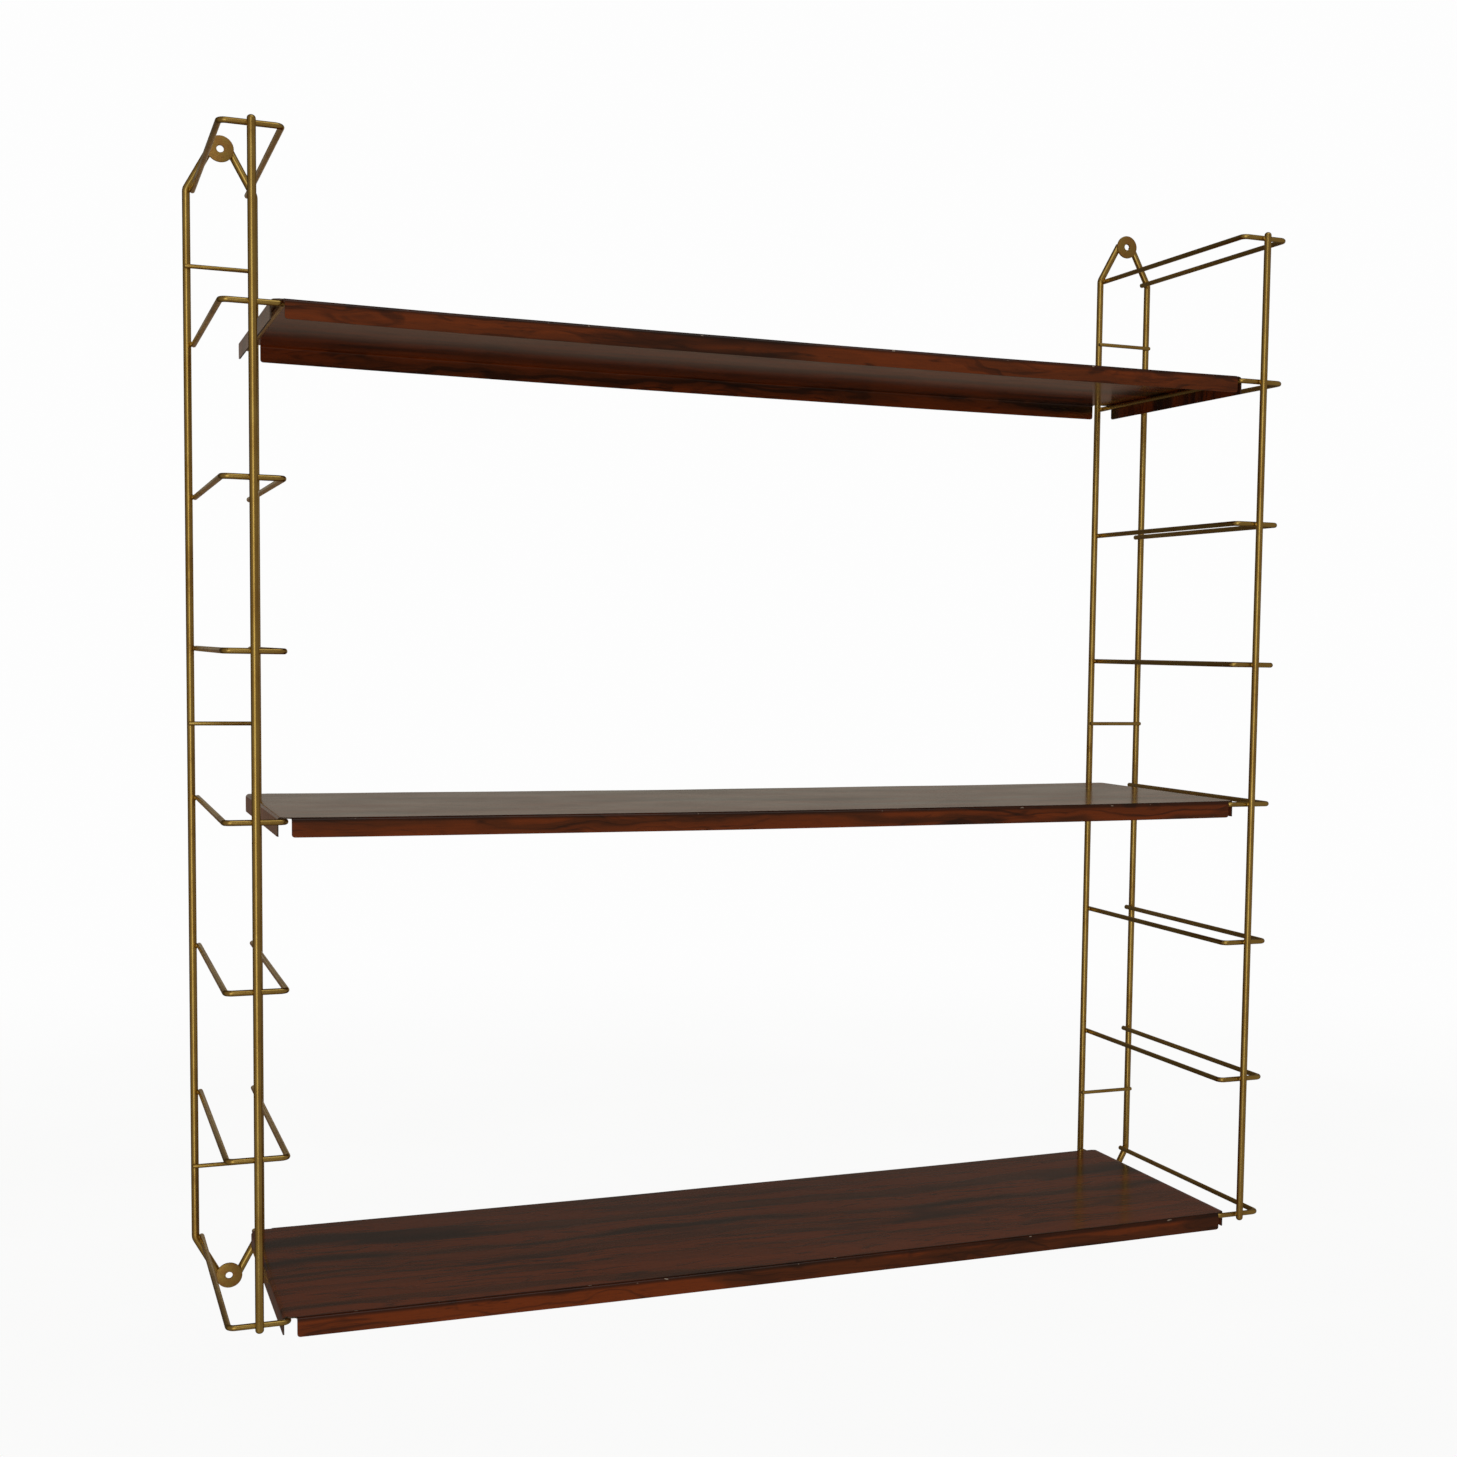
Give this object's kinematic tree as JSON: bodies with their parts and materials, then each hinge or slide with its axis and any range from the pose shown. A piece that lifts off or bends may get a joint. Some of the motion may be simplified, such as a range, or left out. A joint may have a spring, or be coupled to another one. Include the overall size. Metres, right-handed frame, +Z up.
{
  "type": "wall shelf with brackets",
  "caption": "Wall shelf: folded wood-look sheet shelves rest between two welded brass wire ladders, which screw to a wall through an eye plate at each end.",
  "frame": {"origin": "centre of the four screw holes, on the back faces of the eye plates", "axes": "+X along the shelves, +Y into the wall, +Z up"},
  "size_m": [0.6578, 0.1866, 0.6956],
  "materials": {
    "wire_brass": "brass-plated wire, satin, speckled with age",
    "eye_plate_brass": "stamped brass-coloured plate, dulled",
    "wood_look_sheet": "dark rosewood-look film on sheet steel, satin gloss"
  },
  "bodies": {
    "ladders": {"left_front_upright": "wire_brass", "left_rear_upright_left": "wire_brass", "left_rear_upright_right": "wire_brass", "left_rung_1": "wire_brass", "left_rung_2": "wire_brass", "left_rung_3": "wire_brass", "left_rung_4": "wire_brass", "left_rung_5": "wire_brass", "left_rung_6": "wire_brass", "left_rung_7": "wire_brass", "left_rung_8": "wire_brass", "left_brace_top": "wire_brass", "left_brace_middle": "wire_brass", "left_brace_bottom": "wire_brass", "left_eye_top": "eye_plate_brass", "left_eye_bottom": "eye_plate_brass", "right_front_upright": "wire_brass", "right_rear_upright_left": "wire_brass", "right_rear_upright_right": "wire_brass", "right_rung_1": "wire_brass", "right_rung_2": "wire_brass", "right_rung_3": "wire_brass", "right_rung_4": "wire_brass", "right_rung_5": "wire_brass", "right_rung_6": "wire_brass", "right_rung_7": "wire_brass", "right_rung_8": "wire_brass", "right_brace_top": "wire_brass", "right_brace_middle": "wire_brass", "right_brace_bottom": "wire_brass", "right_eye_top": "eye_plate_brass", "right_eye_bottom": "eye_plate_brass"},
    "top_shelf": {"shelf_top": "wood_look_sheet"},
    "middle_shelf": {"shelf_middle": "wood_look_sheet"},
    "bottom_shelf": {"shelf_bottom": "wood_look_sheet"}
  },
  "joints": [
    {"name": "top_shelf_lift", "type": "slide", "parent": "ladders", "child": "top_shelf", "axis": [0, 0, 1], "range_m": [0, 0.08]},
    {"name": "middle_shelf_lift", "type": "slide", "parent": "ladders", "child": "middle_shelf", "axis": [0, 0, 1], "range_m": [0, 0.08]},
    {"name": "bottom_shelf_lift", "type": "slide", "parent": "ladders", "child": "bottom_shelf", "axis": [0, 0, 1], "range_m": [0, 0.08]}
  ]
}
